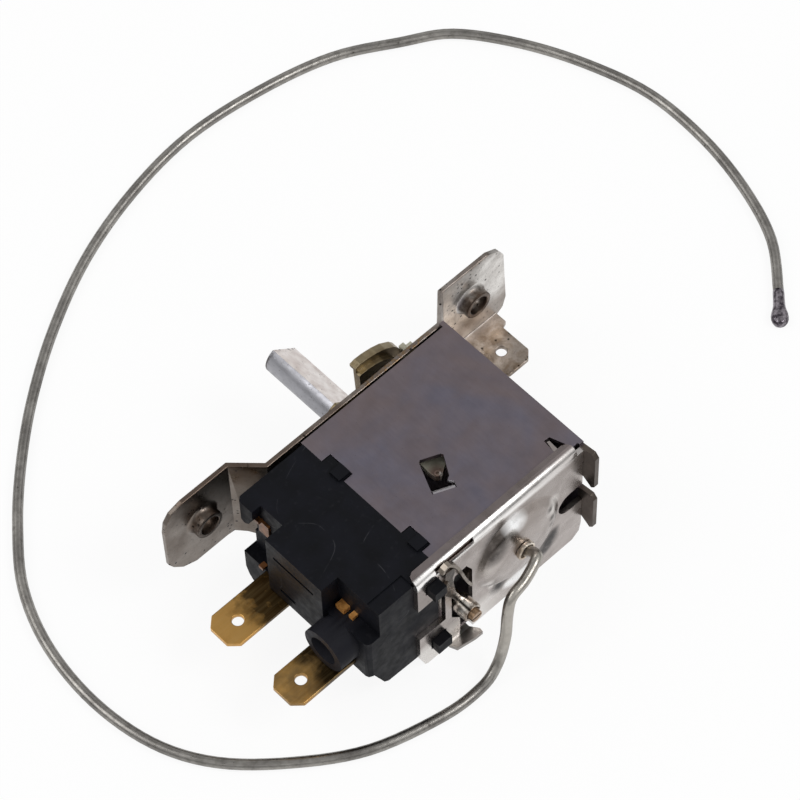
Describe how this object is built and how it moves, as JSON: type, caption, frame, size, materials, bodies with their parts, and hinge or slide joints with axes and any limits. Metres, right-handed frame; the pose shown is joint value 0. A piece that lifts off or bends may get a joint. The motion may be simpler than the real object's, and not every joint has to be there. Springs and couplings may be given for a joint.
{
  "type": "refrigerator thermostat",
  "caption": "Refrigerator thermostat with a rotary spindle, an eared mounting bracket, brass blade terminals and a loose capillary tube.",
  "frame": {"origin": "midway between the two threaded ear holes, on the front face of the ears and on the spindle axis", "axes": "-Y out of the ears along the spindle; +Z to the cover plate; +X to the switch block and its brass blades"},
  "size_m": [0.1359, 0.1037, 0.0253],
  "materials": {
    "nickel_steel": "nickel plated, dull",
    "grey_steel": "purple-grey conversion coat",
    "capsule_steel": "nickel plated",
    "phenolic": "moulded, satin",
    "brass_blade": "rolled, dull",
    "brass_part": "turned",
    "copper_strip": "rolled copper alloy",
    "yellow_steel": "yellow passivated",
    "silver_contact": "silver",
    "cast_zinc": "die-cast, pitted",
    "plain_steel": "plain",
    "spring_steel": "drawn wire",
    "tube_metal": "tinned tube",
    "solder": "soldered, dull",
    "insulator": "moulded"
  },
  "bodies": {
    "housing": {"mounting_bracket": "nickel_steel", "cover_shell": "grey_steel", "rear_plate": "nickel_steel", "diaphragm_ring": "capsule_steel", "diaphragm": "capsule_steel", "capillary_ferrule": "brass_part", "capillary_tube": "tube_metal", "capillary_tip": "solder", "adjuster_clamp": "yellow_steel", "adjuster_hood": "plain_steel", "switch_block": "phenolic", "switch_lid": "phenolic", "terminal_front": "brass_blade", "terminal_rear": "brass_blade", "contact_springs": "copper_strip", "fixed_contact": "silver_contact", "spindle_bush": "brass_part", "follower_pin": "plain_steel", "range_spring": "spring_steel", "lever_pin": "plain_steel"},
    "spindle_group": {"spindle": "cast_zinc", "spindle_clip": "spring_steel", "cam": "yellow_steel"},
    "follower": {"follower_lever": "yellow_steel"},
    "lever": {"main_lever": "nickel_steel"},
    "pad": {"thrust_pad": "brass_part"},
    "pin": {"push_pin": "insulator"},
    "contact_arm": {"contact_blade": "copper_strip", "moving_contact": "silver_contact"},
    "differential": {"differential_screw": "brass_part"},
    "range_adjuster": {"range_screw": "brass_part"}
  },
  "joints": [
    {"name": "spindle_turn", "type": "hinge", "parent": "housing", "child": "spindle_group", "pos_m": [0, 0, 0], "axis": [0, 1, 0], "range_deg": [-15, 185]},
    {"name": "follower_swing", "type": "hinge", "parent": "housing", "child": "follower", "pos_m": [-0.007, 0.021, 0.0052], "axis": [0, 0, 1], "range_deg": [-1, 6.5]},
    {"name": "lever_swing", "type": "hinge", "parent": "housing", "child": "lever", "pos_m": [0.0085, 0.0285, -0.001], "axis": [0, 0, 1], "range_deg": [0, 2.4], "stiffness_Nm_per_rad": 0.5, "deforming": ["range_spring"]},
    {"name": "pad_slide", "type": "slide", "parent": "housing", "child": "pad", "axis": [0, -1, 0], "range_m": [0, 0.0006]},
    {"name": "pin_slide", "type": "slide", "parent": "housing", "child": "pin", "axis": [1, 0, 0], "range_m": [0, 0.0006]},
    {"name": "contact_swing", "type": "hinge", "parent": "housing", "child": "contact_arm", "pos_m": [0.0143, 0.0243, -0.0015], "axis": [0, 0, 1], "range_deg": [0, 4]},
    {"name": "differential_turn", "type": "hinge", "parent": "housing", "child": "differential", "pos_m": [0.0253, 0.028, -0.0015], "axis": [1, 0, 0], "range_deg": [-180, 180]},
    {"name": "range_adjust", "type": "hinge", "parent": "housing", "child": "range_adjuster", "pos_m": [0.0079, 0.0345, -0.0053], "axis": [0, 1, 0], "range_deg": [-180, 180]}
  ],
  "couplings": [
    {"joint": "follower_swing", "follows": "spindle_turn", "ratio": 0.02973},
    {"joint": "pad_slide", "follows": "lever_swing", "m_per_rad": 0.0118},
    {"joint": "pin_slide", "follows": "lever_swing", "m_per_rad": 0.013},
    {"joint": "contact_swing", "follows": "lever_swing", "ratio": 1.4773}
  ]
}
